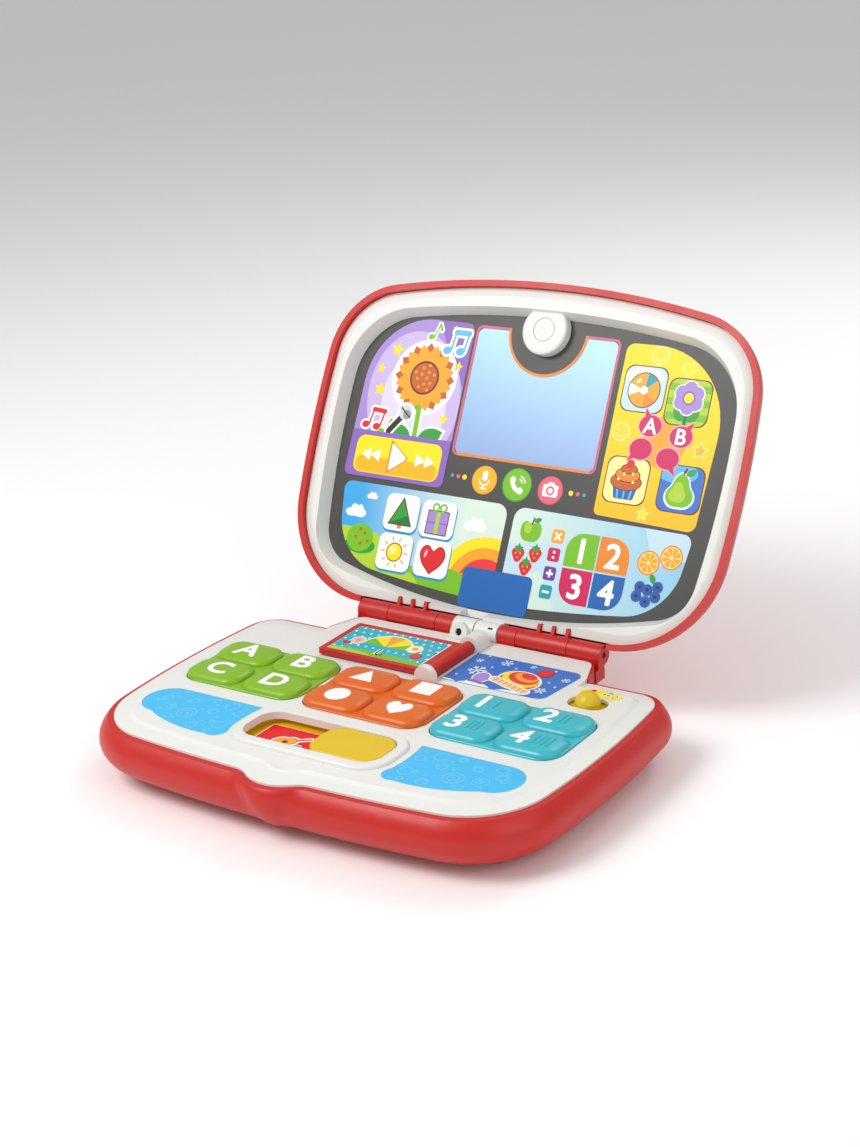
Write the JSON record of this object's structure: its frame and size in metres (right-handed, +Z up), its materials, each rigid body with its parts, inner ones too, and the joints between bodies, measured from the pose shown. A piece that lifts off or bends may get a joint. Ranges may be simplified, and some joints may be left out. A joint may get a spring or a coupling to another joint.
{
  "type": "toy laptop computer",
  "caption": "Hinged toddler toy laptop with a bowl-shaped base, cushion pads, picture slider, flip page, mode switch, and a tilting lid with printed screen and mirror.",
  "frame": {"origin": "on the table, at the middle of the box of the whole toy with its lid open", "axes": "+X to the toy's right, +Y away from the user towards the lid, +Z up"},
  "size_m": [0.2907, 0.3118, 0.2181],
  "materials": {
    "red_shell": "semi-gloss moulded",
    "white_cover": "semi-gloss moulded",
    "white_frame": "semi-gloss moulded",
    "red_page": "semi-gloss moulded",
    "green_pad": "semi-gloss, white printed legends",
    "orange_pad": "semi-gloss, white printed legends",
    "teal_pad": "semi-gloss, white printed legends",
    "yellow_plastic": "semi-gloss, fine dots",
    "printed_card": "glossy laminated print",
    "sticker": "glossy laminated print",
    "mirror": "polished acrylic",
    "rubber": "matt",
    "silicone": "matt",
    "board": "solder mask",
    "black_plastic": "matt",
    "cell": "satin wrap",
    "contact": "nickel plated",
    "steel": "zinc plated"
  },
  "bodies": {
    "base": {"base_shell": "red_shell", "battery_door": "red_shell", "deck_cover": "white_cover", "slider_tray": "yellow_plastic", "slider_label_left": "sticker", "slider_label_right": "sticker", "switch_label": "sticker", "winter_label": "sticker", "wrist_label_left": "sticker", "wrist_label_right": "sticker", "letter_domes": "silicone", "shape_domes": "silicone", "number_domes": "silicone", "feet": "rubber", "circuit_board": "board", "switch_body": "black_plastic", "battery_cells": "cell", "battery_contacts": "contact", "battery_door_screw": "steel", "case_screws": "steel", "page_pin": "steel", "hinge_pin_left": "steel", "hinge_pin_right": "steel", "speaker_driver": "black_plastic", "speaker_clamp": "black_plastic"},
    "lid": {"lid_shell": "red_shell", "lid_frame": "white_frame", "lid_boss_cap": "white_frame", "screen_panel": "printed_card", "mirror_plate": "mirror", "mirror_backing": "black_plastic", "lid_tab": "sticker", "lid_screws": "steel"},
    "page": {"page_frame": "red_page", "page_picture_top": "sticker", "page_picture_under": "sticker"},
    "letter_pad": {"letter_pad": "green_pad"},
    "shape_pad": {"shape_pad": "orange_pad"},
    "number_pad": {"number_pad": "teal_pad"},
    "slider": {"slider_thumb": "yellow_plastic"},
    "mode_switch": {"switch_knob": "yellow_plastic"}
  },
  "joints": [
    {"name": "lid_hinge", "type": "hinge", "parent": "base", "child": "lid", "pos_m": [0, 0.04942, 0.0385], "axis": [1, 0, 0], "range_deg": [0, 118]},
    {"name": "page_flip", "type": "hinge", "parent": "base", "child": "page", "pos_m": [0.008, 0.00632, 0.0387], "axis": [0, 1, 0], "range_deg": [0, 180]},
    {"name": "letter_press", "type": "slide", "parent": "base", "child": "letter_pad", "axis": [0, 0, -1], "range_m": [0, 0.0025], "stiffness_N_per_m": 600, "springref_m": -0.001, "deforming": ["letter_domes"]},
    {"name": "shape_press", "type": "slide", "parent": "base", "child": "shape_pad", "axis": [0, 0, -1], "range_m": [0, 0.0025], "stiffness_N_per_m": 600, "springref_m": -0.001, "deforming": ["shape_domes"]},
    {"name": "number_press", "type": "slide", "parent": "base", "child": "number_pad", "axis": [0, 0, -1], "range_m": [0, 0.0025], "stiffness_N_per_m": 600, "springref_m": -0.001, "deforming": ["number_domes"]},
    {"name": "slider_slide", "type": "slide", "parent": "base", "child": "slider", "axis": [-1, 0, 0], "range_m": [0, 0.042]},
    {"name": "switch_slide", "type": "slide", "parent": "base", "child": "mode_switch", "axis": [1, 0, 0], "range_m": [-0.0034, 0.0034]}
  ]
}
